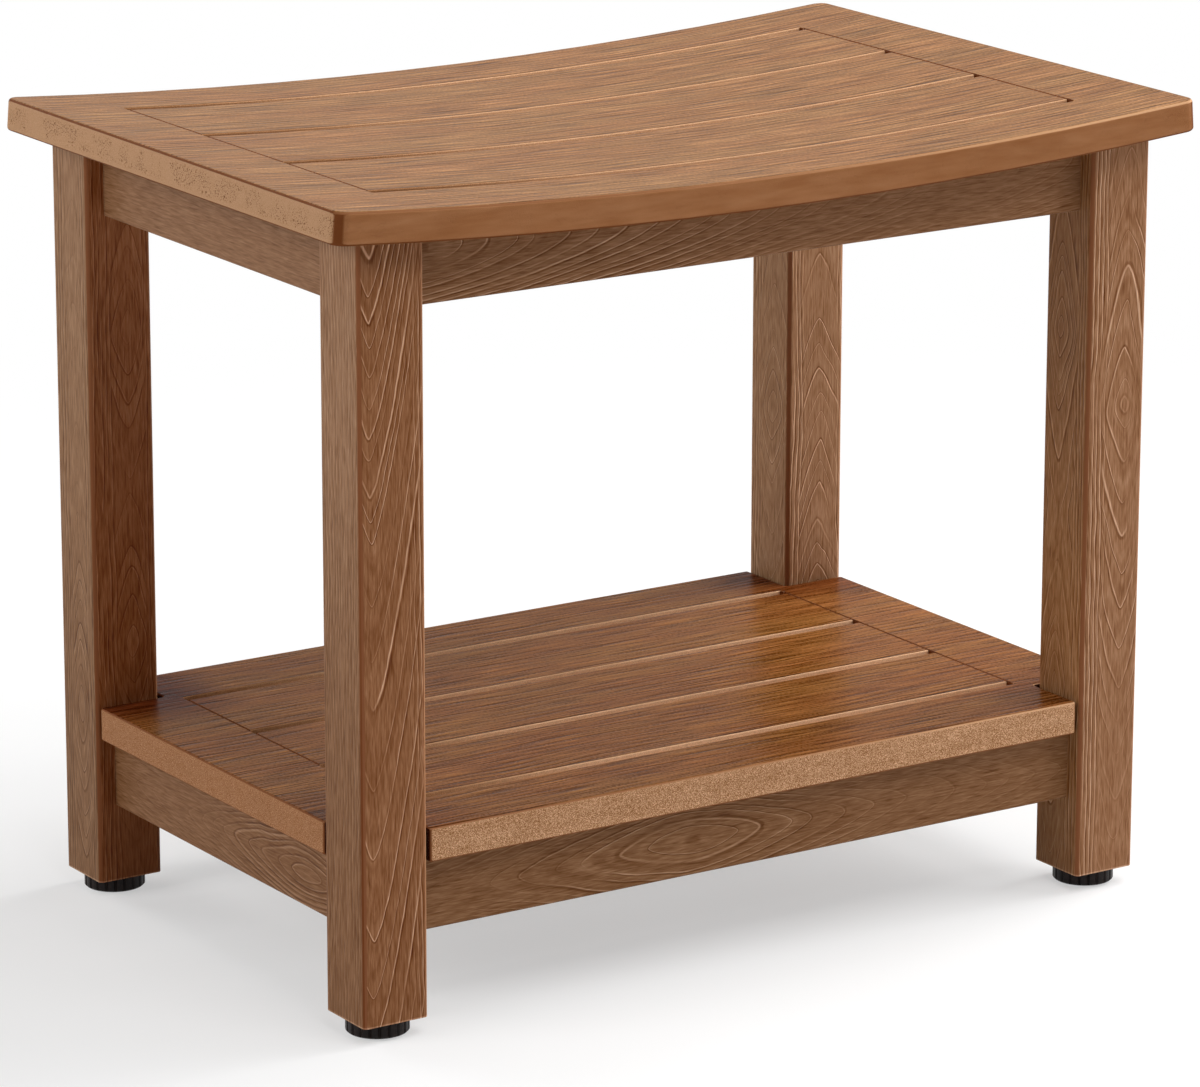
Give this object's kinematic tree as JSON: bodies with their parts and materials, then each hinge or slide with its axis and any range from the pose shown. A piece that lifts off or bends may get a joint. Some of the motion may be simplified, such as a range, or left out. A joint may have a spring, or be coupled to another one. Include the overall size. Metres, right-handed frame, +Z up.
{
  "type": "shower bench",
  "caption": "Free-standing bench with a dished, slotted seat on square legs, a slotted lower shelf between rails, and ribbed screw feet that level it.",
  "frame": {"origin": "on the floor, under the middle of the seat", "axes": "+X along the bench's length, +Y from its front to its back, +Z up"},
  "size_m": [0.5566, 0.3626, 0.457],
  "materials": {
    "lumber": "satin teak brown with embossed wood grain",
    "foot_plastic": "semi-gloss black, ribbed",
    "foot_rubber": "matt black",
    "steel": "zinc-plated",
    "insert_brass": "bright"
  },
  "bodies": {
    "frame": {"apron_back": "lumber", "apron_front": "lumber", "apron_left": "lumber", "apron_right": "lumber", "foot_insert_back_left": "insert_brass", "foot_insert_back_right": "insert_brass", "foot_insert_front_left": "insert_brass", "foot_insert_front_right": "insert_brass", "leg_back_left": "lumber", "leg_back_right": "lumber", "leg_front_left": "lumber", "leg_front_right": "lumber", "lower_bracket_back_left": "steel", "lower_bracket_back_right": "steel", "lower_bracket_front_left": "steel", "lower_bracket_front_right": "steel", "lower_bracket_screws": "steel", "lower_hanger_bolts": "steel", "lower_hanger_nuts": "steel", "lower_hanger_washers": "steel", "seat_board": "lumber", "seat_screws": "steel", "shelf_board": "lumber", "shelf_screws": "steel", "stretcher_back": "lumber", "stretcher_front": "lumber", "stretcher_left": "lumber", "stretcher_right": "lumber", "upper_bracket_back_left": "steel", "upper_bracket_back_right": "steel", "upper_bracket_front_left": "steel", "upper_bracket_front_right": "steel", "upper_bracket_screws": "steel", "upper_hanger_bolts": "steel", "upper_hanger_nuts": "steel", "upper_hanger_washers": "steel"},
    "pad_front_left": {"foot_pad_front_left": "foot_rubber"},
    "screw_foot_front_left": {"foot_base_front_left": "foot_plastic", "foot_stud_front_left": "steel"},
    "pad_front_right": {"foot_pad_front_right": "foot_rubber"},
    "screw_foot_front_right": {"foot_base_front_right": "foot_plastic", "foot_stud_front_right": "steel"},
    "pad_back_left": {"foot_pad_back_left": "foot_rubber"},
    "screw_foot_back_left": {"foot_base_back_left": "foot_plastic", "foot_stud_back_left": "steel"},
    "pad_back_right": {"foot_pad_back_right": "foot_rubber"},
    "screw_foot_back_right": {"foot_base_back_right": "foot_plastic", "foot_stud_back_right": "steel"}
  },
  "joints": [
    {"name": "foot_drop_front_left", "type": "slide", "parent": "frame", "child": "pad_front_left", "axis": [0, 0, -1], "range_m": [0, 0.00625]},
    {"name": "foot_turn_front_left", "type": "hinge", "parent": "pad_front_left", "child": "screw_foot_front_left", "pos_m": [-0.2365, -0.14575, 0.005], "axis": [0, 0, -1], "range_deg": [0, 1800]},
    {"name": "foot_drop_front_right", "type": "slide", "parent": "frame", "child": "pad_front_right", "axis": [0, 0, -1], "range_m": [0, 0.00625]},
    {"name": "foot_turn_front_right", "type": "hinge", "parent": "pad_front_right", "child": "screw_foot_front_right", "pos_m": [0.2365, -0.14575, 0.005], "axis": [0, 0, -1], "range_deg": [0, 1800]},
    {"name": "foot_drop_back_left", "type": "slide", "parent": "frame", "child": "pad_back_left", "axis": [0, 0, -1], "range_m": [0, 0.00625]},
    {"name": "foot_turn_back_left", "type": "hinge", "parent": "pad_back_left", "child": "screw_foot_back_left", "pos_m": [-0.2365, 0.14575, 0.005], "axis": [0, 0, -1], "range_deg": [0, 1800]},
    {"name": "foot_drop_back_right", "type": "slide", "parent": "frame", "child": "pad_back_right", "axis": [0, 0, -1], "range_m": [0, 0.00625]},
    {"name": "foot_turn_back_right", "type": "hinge", "parent": "pad_back_right", "child": "screw_foot_back_right", "pos_m": [0.2365, 0.14575, 0.005], "axis": [0, 0, -1], "range_deg": [0, 1800]}
  ],
  "couplings": [
    {"joint": "foot_drop_front_left", "follows": "foot_turn_front_left", "m_per_rad": 0.00019894},
    {"joint": "foot_drop_front_right", "follows": "foot_turn_front_right", "m_per_rad": 0.00019894},
    {"joint": "foot_drop_back_left", "follows": "foot_turn_back_left", "m_per_rad": 0.00019894},
    {"joint": "foot_drop_back_right", "follows": "foot_turn_back_right", "m_per_rad": 0.00019894}
  ]
}
